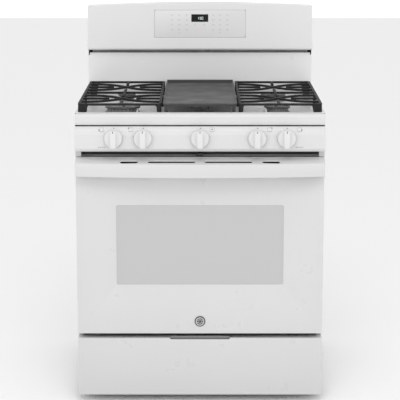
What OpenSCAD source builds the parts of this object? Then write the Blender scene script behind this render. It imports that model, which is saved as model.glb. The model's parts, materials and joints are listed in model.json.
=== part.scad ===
// Freestanding gas range with a sealed-burner cooktop, an oven below it,
// a storage drawer at the bottom and an upright back guard with the oven controls.
// Frame: X to the right, front facing -Y, Z up, origin on the floor at the middle of the outline.
// "d" is a depth measured backwards from the face of the oven door.

/* [Overall] */
// Width of the body, the door and the back guard
body_w = 759; // [630:1:915]
// Height of the cooktop rim above the floor
rim_h = 914; // [760:1:1100]
// Depth from the door's face to the back
case_d = 670; // [556:1:806]
// Height of the back guard above the cooktop rim
guard_h = 286; // [236:1:345]

/* [Front stack] */
// Gap between the floor and the drawer front
toe_gap = 22; // [15:1:40]
// Height of the drawer's face
drawer_h = 184; // [150:1:222]
// Gap between the drawer's face and the door
door_gap = 15; // [13:1:20]
// Gap between the door and the control panel, where the oven breathes
vent_h = 20; // [16:1:30]
// Height of the control panel
panel_h = 76.5; // [66:0.5:92]
// Height of the cooktop's front lip
lip_h = 40.5; // [34:0.5:50]

/* [Casing] */
// Thickness of the sheet steel
sheet = 1.2; // [1:0.1:1.6]
// Height of the base frame above the floor
base_z = 30; // [26:1:36]
// How far the embossed ribs stand out of the rear panels
emboss = 4; // [2:0.5:6]
// Assembly clearance between neighbouring pieces
fit = 0.5; // [0.3:0.1:1]

/* [Oven] */
// Distance from the body's side to the inside of the oven
cavity_side = 74.5; // [66:0.5:90]
// Depth left behind the oven for insulation and the flue
cavity_back = 122; // [105:1:146]
// Thickness of the insulation blanket at the sides and the top
blanket = 45; // [36:1:50]
// Height of the lower rack above the oven floor
rack_low = 178; // [170:1:200]
// Radius of the rack wires
wire_r = 3; // [2:0.5:3.5]

/* [Door] */
// Thickness of the oven door
door_t = 38; // [34:1:46]
// Gap between the door and the front frame, filled by the gasket
seal_gap = 8; // [7:0.5:10]
// Width of the window
window_w = 514; // [428:1:600]
// Distance from the door's bottom edge to the window
window_rise = 157; // [130:1:188]
// Distance from the window to the door's top edge
window_drop = 149; // [124:1:178]
// Reach of the handle's middle in front of the door's face
handle_reach = 54; // [46:1:65]
// Reach of the handle's ends in front of the door's face
handle_end = 28; // [22:1:34]
// Height of the handle's front face
handle_face = 41; // [34:1:50]
// How far the handle's deck slopes down to its front face
handle_drop = 14; // [10:1:18]
// Distance of the hinge arms outside the oven's inner wall
hinge_out = 27; // [25:0.5:30]
// Radius of the hinge pin
pin_r = 4; // [3:0.5:5]
// Running clearance between a pin and its bore
run_gap = 0.05; // [0.02:0.01:0.1]

/* [Cooktop] */
// Width of the cooktop's side rims
rim_w = 6; // [5:1:9]
// Depth of the well below the rim
well = 21; // [18:1:24]
// Depth of the back guard, behind the well
guard_d = 70; // [64:1:80]
// Height of the grates' top above the rim
grate_rise = 26; // [22:1:30]
// Width of a grate bar
bar_w = 8; // [7:0.5:10]
// Height of a grate bar
bar_h = 6.5; // [5:0.5:8]
// Distance of a burner from the outer edge of its grate
burner_in = 130; // [110:1:140]
// Distance of a burner row from the middle of the grate
burner_row = 138; // [115:1:150]
// Distance of the grates' rear bar from the back guard
grate_back = 38; // [30:1:46]
// Half the spacing of the crossing grate fingers at their roots
finger_row = 72; // [60:1:86]

/* [Burners] */
// Radius of the large burner cap, front left
cap_large = 55; // [46:1:60]
// Radius of the two standard burner caps, on the right
cap_std = 41; // [34:1:48]
// Radius of the small burner cap, rear left
cap_small = 29; // [24:1:34]
// Width of the long middle burner cap
oval_w = 62; // [52:1:74]
// Length of the long middle burner cap
oval_len = 190; // [158:1:228]

/* [Griddle] */
// Width of the griddle
griddle_w = 226; // [190:1:250]
// Thickness of the griddle plate
griddle_t = 5; // [4:1:7]
// Height of the griddle's rims above its plate
griddle_rim = 4; // [3:0.5:5]

/* [Knobs] */
// Radius of a knob
knob_r = 28; // [23:1:32]
// Depth of a knob, front to back
knob_t = 25; // [21:1:30]
// How far a knob can be pushed in
push = 4; // [3:0.5:4]
// Distance of the inner pair of knobs from the middle
knob_in = 173; // [144:1:200]
// Distance between the knobs of one pair
knob_pitch = 89; // [74:1:100]
// Radius of a valve stem
stem_r = 4; // [3:0.5:5]

/* [Back guard] */
// Height of the console
console_h = 156; // [130:1:186]
// Gap between the console and the splash panel, where the oven vents
guard_gap = 11; // [9:1:13]
// How far the console's bottom edge overhangs the splash panel
console_over = 25; // [20:1:30]
// How far the console's top edge sits behind the splash panel's face
console_lean = 6; // [4:1:10]
// Rise of the console's crown in the middle
crown = 10; // [8:1:12]
// Width of the keypad
keypad_w = 308; // [257:1:369]
// Height of the keypad
keypad_h = 92; // [76:1:110]

/* [Drawer] */
// Depth left behind the drawer box
drawer_back = 110; // [100:1:132]
// Height of the drawer box
drawer_box_h = 130; // [108:1:140]
// Width of the pull lip
pull_w = 180; // [150:1:216]
// Height of the pull lip above the drawer's top
tab_h = 4; // [3:0.5:5]

/* [Hidden] */
front_y = handle_reach - (case_d + handle_reach) / 2;
half = body_w / 2;
inner = half - sheet;
lip_z = rim_h - lip_h;
panel_z = lip_z - panel_h;
door_z1 = panel_z - vent_h;
drawer_z1 = toe_gap + drawer_h;
door_z0 = drawer_z1 + door_gap;
frame_d = door_t + seal_gap;
rear_d = case_d - emboss;
well_z = rim_h - well;
well_d0 = 12;
well_d1 = case_d - guard_d;
well_x = half - rim_w;
cav_x = half - cavity_side;
cav_z0 = door_z0 + 41;
cav_z1 = door_z1 - 55;
cav_d0 = frame_d + sheet;
cav_d1 = case_d - cavity_back;
burner_box_z = cav_z0 - 30;
blanket_low = 18;
side_flange = 12;
rack_z0 = cav_z0 + rack_low;
rack_z1 = (rack_z0 + cav_z1 - 25) / 2;
hinge_x = cav_x + hinge_out;
hinge_d = 18;
hinge_z = door_z0 + 15;
arm_r = 8;
arm_w = 8;
win_z0 = door_z0 + window_rise;
win_z1 = door_z1 - window_drop;
skin = 1.5;
handle_slots = [[86, 146], [215, 56]];
shell_d = 22;
grate_z = rim_h + grate_rise;
grate_d0 = well_d0 + 2;
grate_d1 = well_d1 - grate_back;
grate_mid = (grate_d0 + grate_d1) / 2;
grate_x1 = well_x - 2.5;
grate_x0 = griddle_w / 2 + 4;
burner_x = grate_x1 - burner_in;
rows = [grate_mid - burner_row, grate_mid + burner_row];
cap_z = well_z + 16;
cap_t = 8;
griddle_z = grate_z - griddle_rim - griddle_t;
panel_d = -24;
knob_gap = push + fit;
knob_xs = [-knob_in - knob_pitch, -knob_in, 0, knob_in, knob_in + knob_pitch];
knob_z = panel_z + panel_h * 0.55;
pipe_r = 10;
pipe_d = 20;
pipe_x = inner - 14;
inlet_z = 104;
inlet_r = 9.3;
crown_z = rim_h + guard_h;
console_z = crown_z - console_h;
splash_z = console_z - guard_gap;
notch = 6;
flange_z = splash_z - notch - 2;
console_d0 = well_d1 - console_over;
console_d1 = well_d1 + console_lean;
lean = atan((console_d1 - console_d0) / console_h);
keypad_z = console_z + 87;
runner_z = 101.5;
box_x = inner - 28;
flue_x = 60;
flue_z = cav_z1 - 72;
flue_h = 30;
box_d0 = frame_d - 6;
tab_d = 8;
box_d1 = case_d - drawer_back;
leg_x = half - 22;
leg_ds = [frame_d + 39, case_d - 50];
drop_d = rear_d - 36;
inlet_x = pipe_x - 34;
flue_d0 = well_d1 + 14;
flue_d1 = rear_d - 12;

// Box between two corners, with its depth measured from the door's face.
module slab(x0, x1, d0, d1, z0, z1) {
    translate([x0, front_y + d0, z0]) cube([x1 - x0, d1 - d0, z1 - z0]);
}

module both_sides() {
    children();
    mirror([1, 0, 0]) children();
}

// Cylinder along X.
module bar_x(x0, x1, r, d, z) {
    translate([x0, front_y + d, z]) rotate([0, 90, 0]) cylinder(r = r, h = x1 - x0, $fn = 48);
}

// Cylinder along Y, from depth d0 to d1.
module bar_y(d0, d1, r, x, z) {
    translate([x, front_y + d0, z]) rotate([-90, 0, 0]) cylinder(r = r, h = d1 - d0, $fn = 48);
}

// Cylinder along Z.
module bar_z(z0, z1, r, x, d) {
    translate([x, front_y + d, z0]) cylinder(r = r, h = z1 - z0, $fn = 48);
}

// Front view outline (X, Z) given thickness from depth d0 to d1.
module facing(d0, d1) {
    translate([0, front_y + d1, 0]) rotate([90, 0, 0]) linear_extrude(d1 - d0) children();
}

// Side view outline (d, Z) drawn out along X.
module sideways(x0, x1) {
    translate([x0, front_y, 0]) rotate([90, 0, 90]) linear_extrude(x1 - x0) children();
}

// Plan outline (X, d) given height.
module flat(z0, z1) {
    translate([0, front_y, z0]) linear_extrude(z1 - z0) children();
}

module rounded(x0, x1, y0, y1, r) {
    offset(r = r, $fn = 48) translate([x0 + r, y0 + r]) square([x1 - x0 - 2 * r, y1 - y0 - 2 * r]);
}

module stadium(w, l) {
    square([w, l - w], center = true);
    for (s = [-1, 1]) translate([0, s * (l - w) / 2]) circle(d = w, $fn = 64);
}

// ---------- casing ----------

module side_sheet() {
    x0 = half - side_flange;
    slab(inner, half, frame_d, rear_d, base_z, lip_z);
    slab(x0, inner, frame_d + 18, rear_d, lip_z - sheet, lip_z);
    slab(x0, inner, frame_d + 18, rear_d, base_z, base_z + sheet);
    slab(x0, inner, rear_d - sheet, rear_d, base_z + sheet, lip_z - sheet);
}

module side_panel_right() { color("white") side_sheet(); }

module side_panel_left() { color("white") mirror([1, 0, 0]) side_sheet(); }

module rear_panel() {
    z0 = base_z + 8;
    z1 = lip_z - 4;
    x1 = half - side_flange - fit;
    slot_w = 64;
    color("gainsboro") difference() {
        union() {
            slab(-x1, x1, rear_d - sheet, rear_d, z0, z1);
            for (x = [-230, 0, 230]) slab(x - 14, x + 14, rear_d, case_d, z0 + 140, z1 - 210);
        }
        for (row = [0:4], col = [-2:2])
            slab(col * 110 - slot_w / 2, col * 110 + slot_w / 2, rear_d - 5, case_d + 1,
                z1 - 60 - row * 24, z1 - 54 - row * 24);
        bar_y(rear_d - 5, case_d + 1, 17, inlet_x, inlet_z);
    }
}

module console_back() {
    z0 = rim_h + fit;
    z1 = crown_z - crown - 12;
    x1 = half - 12;
    color("gainsboro") difference() {
        union() {
            slab(-x1, x1, rear_d - sheet, rear_d, z0, z1);
            slab(-x1 + 60, x1 - 60, rear_d, case_d, z0 + 22, z0 + 40);
        }
        for (row = [0:3], side = [-1, 1])
            slab(side * 180 - 60, side * 180 + 60, rear_d - 5, case_d + 1,
                z1 - 70 + row * 12, z1 - 66 + row * 12);
    }
}

module base_frame() {
    wide = 34;
    top = base_z + 12;
    color("silver") difference() {
        union() {
            both_sides() {
                slab(inner - wide, inner - fit, frame_d + 3, rear_d - 2, base_z - sheet, base_z);
                slab(inner - wide, inner - wide + sheet, frame_d + 3, rear_d - 2, base_z, top);
            }
            slab(-inner + wide, inner - wide, frame_d + 3, frame_d + 23, base_z - sheet, base_z);
            slab(-inner + wide, inner - wide, rear_d - 32, rear_d - 2, base_z - sheet, base_z);
            slab(-inner + wide, inner - wide, rear_d - 3, rear_d - 2, base_z, top + 30);
        }
        for (x = [-leg_x, leg_x], d = leg_ds)
            bar_z(base_z - 2, base_z + 1, 5.4, x, d);
    }
}

module leveling_legs() {
    color("dimgray") for (x = [-leg_x, leg_x], d = leg_ds) {
        bar_z(0, 8, 16, x, d);
        bar_z(8, base_z + 14, 5, x, d);
        translate([x, front_y + d, base_z]) difference() {
            cylinder(r = 9, h = 7, $fn = 6);
            translate([0, 0, -1]) cylinder(r = 5, h = 9, $fn = 48);
        }
    }
}

module front_frame() {
    x1 = inner - fit;
    z0 = door_z0 - 9;
    post = 12;
    color("dimgray") difference() {
        union() {
            slab(-x1, x1, frame_d, cav_d0, z0, lip_z - fit);
            both_sides() {
                slab(x1 - sheet, x1, cav_d0, frame_d + 17, base_z + 6, lip_z - fit);
                slab(x1 - post, x1, frame_d, cav_d0, base_z + 6, z0);
            }
            slab(-x1 + sheet, x1 - sheet, cav_d0, frame_d + 17, lip_z - fit - sheet, lip_z - fit);
        }
        slab(-cav_x, cav_x, frame_d - 1, cav_d0 + 1, cav_z0, cav_z1);
        both_sides() slab(hinge_x - arm_w / 2 - 1, hinge_x + arm_w / 2 + 1, frame_d - 1, cav_d0 + 1,
            hinge_z - arm_r, hinge_z + arm_r);
        bar_y(frame_d - 1, cav_d0 + 1, 9.5, pipe_x, knob_z);
    }
    color("white") both_sides() slab(half - 17, half, 4, frame_d, door_z1 + 1.5, panel_z - fit);
}

// ---------- oven ----------

module oven_liner() {
    t = sheet;
    rib = 8;
    color("darkslategray") difference() {
        union() {
            slab(-cav_x - t, cav_x + t, cav_d0, cav_d1 + t, burner_box_z - t, cav_z1 + t);
            slab(-cav_x - 12, cav_x + 12, cav_d0, cav_d0 + t, burner_box_z - 12, cav_z1 + 12);
        }
        difference() {
            slab(-cav_x, cav_x, cav_d0 - 1, cav_d1, burner_box_z, cav_z1);
            both_sides() {
                for (z = [rack_z0 - 60, rack_z0, (rack_z0 + rack_z1) / 2, rack_z1])
                    slab(cav_x - rib, cav_x + 1, cav_d0 + 24, cav_d1 - 8,
                        z - wire_r - fit - 4, z - wire_r - fit);
                slab(cav_x - rib, cav_x + 1, cav_d0 + 4, cav_d1 + 1,
                    cav_z0 - sheet - 3, cav_z0 - sheet);
            }
        }
        slab(-flue_x + t, flue_x - t, cav_d1 - 1, cav_d1 + 5, flue_z + t, flue_z + flue_h - t);
        bar_y(cav_d1 - 1, cav_d1 + 5, 11.5, 0, cav_z1 - 14);
        bar_y(cav_d1 - 1, cav_d1 + 5, 12.5, 0, cav_z0 - 18);
        bar_y(cav_d1 - 1, cav_d1 + 5, 20.5, -cav_x * 0.66, cav_z1 - 66);
    }
}

module oven_floor() {
    x1 = cav_x - fit;
    color("darkslategray") difference() {
        slab(-x1, x1, cav_d0 + 4, cav_d1 - fit, cav_z0 - sheet, cav_z0);
        for (i = [0:7]) both_sides() slab(x1 - 34, x1 - 20, cav_d0 + 30 + i * 46, cav_d0 + 60 + i * 46,
            cav_z0 - 2, cav_z0 + 1);
    }
}

module oven_insulation() {
    t = sheet;
    color("khaki") difference() {
        slab(-cav_x - t - blanket, cav_x + t + blanket, cav_d0 + t, cav_d1 + t + blanket,
            burner_box_z - t - blanket_low, cav_z1 + t + blanket);
        slab(-cav_x - t, cav_x + t, cav_d0, cav_d1 + t, burner_box_z - t, cav_z1 + t);
        both_sides() slab(hinge_x - 14, half, cav_d0, cav_d0 + 90, 0, hinge_z + 80);
        slab(-flue_x, flue_x, cav_d1, cav_d1 + blanket + 9, flue_z, flue_z + flue_h);
        bar_y(cav_d1, cav_d1 + blanket + 9, 12, 0, cav_z1 - 14);
        bar_y(cav_d1, cav_d1 + blanket + 9, 13, 0, cav_z0 - 18);
        bar_y(cav_d1, cav_d1 + blanket + 9, 21, -cav_x * 0.66, cav_z1 - 66);
    }
}

// Gas burner tube along the oven with a sheet that spreads its flame.
module burner_tube(r, z, spread_w, spread_z) {
    difference() {
        bar_y(cav_d0 + 40, cav_d1 + blanket + 20, r, 0, z);
        bar_y(cav_d0 + 42, cav_d1 + blanket + 21, r - 1.2, 0, z);
        for (i = [0:11], s = [-1, 1])
            translate([s * (r - 3), front_y + cav_d0 + 70 + i * 28, z - 1]) cube([6, 12, 2], center = true);
    }
    slab(-spread_w, spread_w, cav_d0 + 54, cav_d1 - 50, spread_z, spread_z + sheet);
}

module bake_burner() { color("silver") burner_tube(12, cav_z0 - 18, 60, cav_z0 - 6); }

module broil_burner() { color("silver") burner_tube(11, cav_z1 - 14, 110, cav_z1 - 3); }

module oven_light() {
    x = -cav_x * 0.66;
    z = cav_z1 - 66;
    color("lightyellow") {
        bar_y(cav_d1 - 6, cav_d1, 27, x, z);
        bar_y(cav_d1 - 16, cav_d1 - 6, 22, x, z);
    }
    color("whitesmoke") bar_y(cav_d1, cav_d1 + 34, 20, x, z);
}

module door_gasket() {
    wide = 8;
    z0 = cav_z0 - 10;
    z1 = cav_z1 + 18;
    color("dimgray") facing(door_t + 0.6, frame_d) difference() {
        rounded(-cav_x - 15, cav_x + 15, z0, z1, 16);
        rounded(-cav_x - 15 + wide, cav_x + 15 - wide, z0 + wide, z1 - wide, 10);
    }
}

module hinge_receivers() {
    color("silver") both_sides() difference() {
        union() {
            slab(hinge_x - 9, hinge_x + 9, cav_d0, cav_d0 + 70, hinge_z - 10, hinge_z + 64);
            slab(hinge_x - arm_w / 2, hinge_x + arm_w / 2, hinge_d, cav_d0 + 1,
                hinge_z - arm_r + 1, hinge_z + arm_r - 1);
            bar_x(hinge_x - arm_w / 2, hinge_x + arm_w / 2, arm_r, hinge_d, hinge_z);
        }
        bar_x(hinge_x - arm_w, hinge_x + arm_w, pin_r + run_gap, hinge_d, hinge_z);
    }
}

module vent_trim() {
    x1 = half - 18;
    z0 = door_z1 + 2;
    z1 = panel_z - fit;
    color("black") difference() {
        union() {
            slab(-x1, x1, frame_d - 6, frame_d, z0, z1);
            slab(-x1, x1, 2, frame_d - 6, z1 - 1.5, z1);
        }
        for (i = [-9:9])
            if (abs(i) > 0)
                slab(i * 36 - 13, i * 36 + 13, frame_d - 7, frame_d - 2, z0 + 4, z0 + 10);
    }
}

module door_latch() {
    z0 = door_z1 + 2.5;
    color("black") {
        slab(-22, 22, frame_d - 8, frame_d - 6, z0, panel_z - 4);
        slab(-7, 7, 10, frame_d - 8, z0 + 2, z0 + 8);
        slab(-12, 12, 10, 18, z0, z0 + 2);
    }
}

// ---------- gas and controls ----------

module panel_outline(grow) {
    offset(delta = grow) offset(r = 8, $fn = 96) offset(delta = -8)
        polygon([[60, panel_z], [-17, panel_z], [panel_d, panel_z + 10], [panel_d, lip_z - 24],
            [-19, lip_z - 9], [-10, lip_z], [60, lip_z]]);
}

module control_panel() {
    wall = 2;
    color("white") difference() {
        intersection() {
            sideways(-half, half) panel_outline(0);
            slab(-half, half, panel_d - 1, frame_d, panel_z, lip_z);
        }
        sideways(-half + wall, half - wall) panel_outline(-wall);
        for (x = knob_xs) bar_y(panel_d - 2, panel_d + 5, stem_r + 3, x, knob_z);
    }
}

module gas_manifold() {
    r = 8;
    color("darkgray") {
        bar_x(-knob_in - knob_pitch - 40, pipe_x, pipe_r, pipe_d, knob_z);
        bar_y(pipe_d, drop_d, r, pipe_x, knob_z);
        bar_z(inlet_z + 16, knob_z, r, pipe_x, drop_d);
        translate([pipe_x, front_y + pipe_d, knob_z]) sphere(r = 12, $fn = 48);
        translate([pipe_x, front_y + drop_d, knob_z]) sphere(r = 11, $fn = 48);
    }
}

module gas_valves() {
    color("darkgray") for (x = knob_xs) difference() {
        slab(x - 13, x + 13, -14, pipe_d - pipe_r + 0.3, knob_z - 14, knob_z + 14);
        bar_y(-15, 4, stem_r + run_gap, x, knob_z);
        bar_x(-half, half, pipe_r, pipe_d, knob_z);
    }
}

module pressure_regulator() {
    deep = 24;
    mouth = rear_d - 2;
    color("goldenrod") difference() {
        union() {
            slab(inlet_x - 18, pipe_x + 10, drop_d - 18, drop_d + 10, inlet_z - 16, inlet_z + 16);
            bar_y(drop_d + 10, mouth, 14, inlet_x, inlet_z);
        }
        bar_y(mouth - deep, mouth + 1, inlet_r, inlet_x, inlet_z);
    }
}

// ---------- cooktop ----------

// The round burners: [x, depth, cap radius].
function burners() = [
    [-burner_x, rows[0], cap_large], [-burner_x, rows[1], cap_small],
    [burner_x, rows[0], cap_std], [burner_x, rows[1], cap_std]
];

module cooktop_edge(grow) {
    offset(delta = grow) offset(r = 6, $fn = 48) offset(delta = -6)
        polygon([[rear_d + 20, lip_z], [-5, lip_z], [-8, lip_z + 12], [-8, rim_h - 9], [1, rim_h],
            [rear_d + 20, rim_h]]);
}

module cooktop() {
    t = 1.5;
    color("white") difference() {
        intersection() {
            sideways(-half, half) cooktop_edge(0);
            slab(-half, half, -9, rear_d, lip_z, rim_h);
        }
        flat(well_z, rim_h + 1) rounded(-well_x, well_x, well_d0, well_d1 + sheet, 14);
        slab(-half + t, half - t, -6, rear_d - t, lip_z - 1, well_z - t);
        slab(-half + t, -well_x - t, -2, rear_d - t, well_z - 2 * t, rim_h - t);
        slab(well_x + t, half - t, -2, rear_d - t, well_z - 2 * t, rim_h - t);
        slab(-half + t, half - t, -2, well_d0 - t, well_z - 2 * t, rim_h - t - 1);
        slab(-half + t, half - t, well_d1 + sheet + t, rear_d - t, well_z - 2 * t, rim_h - t);
        for (b = burners()) bar_z(well_z - 3, well_z + 1, 15.5, b[0], b[1]);
        flat(well_z - 3, well_z + 1) translate([0, grate_mid]) stadium(22, 120);
        slab(-flue_x - fit, flue_x + fit, flue_d0 - fit, flue_d1 + fit, rim_h - 3, rim_h + 1);
    }
}

module burner_heads_round() {
    ports = 24;
    port_w = 3;
    port_h = 8;
    color("silver") for (b = burners()) translate([b[0], front_y + b[1], 0]) difference() {
        union() {
            translate([0, 0, well_z]) cylinder(r = b[2] - 2, h = 4, $fn = 72);
            translate([0, 0, well_z + 4]) cylinder(r = b[2] - 6, h = cap_z - well_z - 4, $fn = 72);
            translate([0, 0, well_z - 16]) cylinder(r = 15, h = 16, $fn = 48);
        }
        for (i = [0:ports - 1]) rotate(i * 360 / ports)
            translate([b[2] - 10, -port_w / 2, cap_z - port_h]) cube([6, port_w, port_h + 1]);
        translate([0, 0, well_z - 17]) cylinder(r = 9, h = 24, $fn = 48);
    }
}

module burner_head_oval() {
    color("silver") difference() {
        union() {
            flat(well_z, well_z + 4) translate([0, grate_mid]) stadium(oval_w - 4, oval_len - 4);
            flat(well_z + 4, cap_z) translate([0, grate_mid]) stadium(oval_w - 12, oval_len - 12);
            flat(well_z - 16, well_z) translate([0, grate_mid]) stadium(21, 118);
        }
        for (i = [-5:5], s = [-1, 1]) slab(s * (oval_w / 2 - 6) - 4, s * (oval_w / 2 - 6) + 4,
            grate_mid + i * 11 - 1, grate_mid + i * 11 + 1, cap_z - 5, cap_z + 1);
        bar_z(well_z - 17, well_z + 7, 8, 0, grate_mid - 30);
    }
}

// Enamelled cap with a rounded edge.
module round_cap(b) {
    r = b[2];
    translate([b[0], front_y + b[1], cap_z]) rotate_extrude($fn = 96)
        polygon([[0, 0], [r - 1, 0], [r, 1.2], [r, cap_t - 4], [r - 1, cap_t - 2.2],
            [r - 3, cap_t - 1.2], [r - 12, cap_t - 0.4], [0, cap_t]]);
}

module burner_cap_large() { color("black") round_cap(burners()[0]); }

module burner_cap_small() { color("black") round_cap(burners()[1]); }

module burner_caps_standard() { color("black") for (i = [2, 3]) round_cap(burners()[i]); }

module burner_cap_oval() {
    color("black") for (layer = [[0, 5, 0], [5, 7, 3], [7, 8, 7]])
        flat(cap_z + layer[0], cap_z + layer[1]) translate([0, grate_mid])
            stadium(oval_w - 2 * layer[2], oval_len - 2 * layer[2]);
}

module spark(x, d) {
    bar_z(well_z, well_z + 14, 3, x, d);
    bar_z(well_z + 14, well_z + 18, 1, x, d);
}

module spark_igniters() {
    turn = 40;
    color("whitesmoke") {
        for (b = burners()) let (r = b[2] + 6)
            spark(b[0] - sign(b[0]) * r * cos(turn), b[1] - r * sin(turn));
        spark(oval_w / 2 + 6, grate_mid);
    }
}

// ---------- grates ----------

// A finger leaves its side bar square and bends towards the burner's centre.
function bend(u, x0, y0) = [x0 * (1 - u), y0 * cos(90 * pow(u, 1.5))];
function across(a, b) = let (v = b - a) [-v[1], v[0]] / norm(v);
function finger_edge(side, x0, y0, n) = [for (i = [0:n])
    let (p = bend(i / n, x0, y0), q = bend(min(1, i / n + 0.01), x0, y0),
         o = bend(max(0, i / n - 0.01), x0, y0))
    p + across(o, q) * side * bar_w / 2];

module finger(x0, y0) {
    steps = 14;
    polygon(concat(finger_edge(1, x0, y0, steps),
        [for (i = [0:steps]) finger_edge(-1, x0, y0, steps)[steps - i]]));
}

module burner_fingers(xc, yc, x0, x1) {
    stub = 42;
    translate([xc, yc]) {
        for (y = [-finger_row, finger_row], x = [x0 - xc, x1 - xc]) finger(x, y);
        translate([x0 - xc, -bar_w / 2]) square([xc - x0 - stub, bar_w]);
        translate([stub, -bar_w / 2]) square([x1 - xc - stub, bar_w]);
    }
}

module side_grate() {
    x0 = grate_x0;
    x1 = grate_x1;
    w = bar_w;
    stub = 46;
    leg = 30;
    flat(grate_z - bar_h, grate_z) offset(r = -3, $fn = 32) offset(r = 3, $fn = 32) {
        difference() {
            rounded(x0, x1, grate_d0, grate_d1, 9);
            translate([x0 + w, grate_d0 + w]) square([x1 - x0 - 2 * w, grate_d1 - grate_d0 - 2 * w]);
        }
        translate([x0 + 1, grate_mid - w / 2]) square([x1 - x0 - 2, w]);
        for (row = rows) {
            near = row < grate_mid ? grate_d0 + w / 2 : grate_mid;
            far = row < grate_mid ? grate_mid : grate_d1 - w / 2;
            burner_fingers(burner_x, row, x0 + w / 2, x1 - w / 2);
            translate([burner_x - w / 2, near]) square([w, row - stub - near]);
            translate([burner_x - w / 2, row + stub]) square([w, far - row - stub]);
        }
    }
    intersection() {
        flat(well_z - 1, grate_z) rounded(x0, x1, grate_d0, grate_d1, 9);
        for (d = [grate_d0, grate_d1 - w]) facing(d, d + w) offset(r = -5, $fn = 32) offset(r = 5, $fn = 32) {
            translate([x0 + 4, grate_z - bar_h]) square([x1 - x0 - 8, bar_h - 1]);
            hull() {
                translate([x1 - leg, grate_z - bar_h]) square([leg - 0.5, bar_h - 1]);
                translate([x1 - leg + 8, well_z]) square([leg - 16, 1]);
                translate([x1 - 8, well_z + 8]) circle(r = 8, $fn = 32);
            }
            polygon([[x0, grate_z - 1], [x0 + 16, grate_z - 1], [x0 + 12, well_z], [x0, well_z]]);
        }
    }
    for (x = [x0, x1 - w]) slab(x, x + w, grate_mid - w, grate_mid + w, well_z, grate_z - 2);
}

module grate_right() { color("dimgray") side_grate(); }

module grate_left() { color("dimgray") mirror([1, 0, 0]) side_grate(); }

// Griddle on its own legs, with a rim all round that is highest at the back.
module griddle() {
    x1 = griddle_w / 2;
    top = griddle_z + griddle_t;
    wall = 5;
    lip = 4;
    leg_h = griddle_z - well_z + 1;
    color("gray") {
        flat(griddle_z, top) rounded(-x1 + lip, x1 - lip, grate_d0 + lip, grate_d1 - 1, 6);
        flat(top - 1, top + griddle_rim) difference() {
            rounded(-x1, x1, grate_d0, grate_d1, 7);
            rounded(-x1 + wall + 1, x1 - wall - 1, grate_d0 + wall, grate_d1 - wall, 6);
        }
        slab(-x1 + 2, x1 - 2, grate_d1 - wall, grate_d1 - 0.5, top, top + griddle_rim + 5);
        both_sides() for (d = [grate_d0 + lip + 1, grate_d1 - 16])
            slab(x1 - 15, x1 - 5, d, d + 10, well_z, well_z + leg_h);
    }
}

// ---------- knobs ----------

module stem(i) {
    tip = panel_d - knob_gap - knob_t + 8;
    color("silver") bar_y(tip, -4 - push - 2, stem_r, knob_xs[i], knob_z);
}

module knob(i) {
    back = panel_d - knob_gap;
    skirt = 12;
    bar = 17;
    color("whitesmoke") difference() {
        union() {
            translate([knob_xs[i], front_y + back, knob_z]) rotate([90, 0, 0])
                rotate_extrude($fn = 96) polygon([[0, 0], [knob_r, 0], [knob_r, 3],
                    [knob_r - 1.5, skirt - 2], [knob_r - 4, skirt], [0, skirt]]);
            intersection() {
                slab(knob_xs[i] - bar / 2, knob_xs[i] + bar / 2, back - knob_t, back - skirt + 1,
                    knob_z - knob_r, knob_z + knob_r);
                translate([knob_xs[i], front_y + back + 1, knob_z]) rotate([90, 0, 0])
                    cylinder(r = knob_r - 1.5, h = knob_t + 2, $fn = 96);
            }
        }
        bar_y(back - knob_t + 7, back + 1, stem_r + run_gap, knob_xs[i], knob_z);
    }
}

module stem_left_front() { stem(0); }
module stem_left_rear() { stem(1); }
module stem_center() { stem(2); }
module stem_right_rear() { stem(3); }
module stem_right_front() { stem(4); }
module knob_left_front() { knob(0); }
module knob_left_rear() { knob(1); }
module knob_center() { knob(2); }
module knob_right_rear() { knob(3); }
module knob_right_front() { knob(4); }

// ---------- back guard ----------

module splash_panel() {
    x1 = half - fit;
    color("white") {
        slab(-well_x + 15, well_x - 15, well_d1, well_d1 + sheet, well_z, rim_h);
        slab(-x1 + notch, x1 - notch, well_d1, well_d1 + sheet, rim_h, splash_z);
        slab(-x1, x1, well_d1, well_d1 + sheet, rim_h, flange_z);
        both_sides() slab(x1 - sheet, x1, well_d1 + sheet, rear_d - sheet, rim_h, flange_z);
        both_sides() slab(x1 - sheet, x1, well_d1 + notch + 2, rear_d - sheet, flange_z, console_z - 1);
        slab(-x1 + sheet, x1 - sheet, well_d1 + sheet, rear_d - 30, flange_z - sheet, flange_z);
    }
}

module console_outline(grow) {
    offset(delta = grow) offset(r = 6, $fn = 48) offset(delta = -6)
        polygon([[console_d0, console_z], [console_d1, crown_z], [rear_d + 20, crown_z],
            [rear_d + 20, console_z]]);
}

// The console's front outline: a shallow crown between rounded shoulders.
module console_front(grow) {
    r = (half * half + crown * crown) / (2 * crown);
    intersection() {
        offset(r = 9 + grow, $fn = 48) translate([-half + 9, console_z - 40])
            square([body_w - 18, console_h + 40 - 9]);
        translate([0, crown_z - r + grow]) circle(r = r, $fn = 720);
    }
}

// Board tilted to the console's face, centred on x at height z on that face.
module on_console(x, z) {
    translate([x, front_y + console_d0 + (z - console_z) * tan(lean), z]) rotate([-lean, 0, 0]) children();
}

module console_shell() {
    wall = 2.5;
    color("white") difference() {
        intersection() {
            sideways(-half, half) console_outline(0);
            facing(console_d0 - 5, rear_d - sheet) console_front(0);
        }
        intersection() {
            sideways(-half + wall, half - wall) console_outline(-wall);
            facing(console_d0 - 5, case_d) console_front(-wall);
        }
        on_console(0, keypad_z) translate([-keypad_w / 2 - fit, -10, -keypad_h / 2 - fit])
            cube([keypad_w + 2 * fit, 30, keypad_h + 2 * fit]);
    }
}

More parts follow.
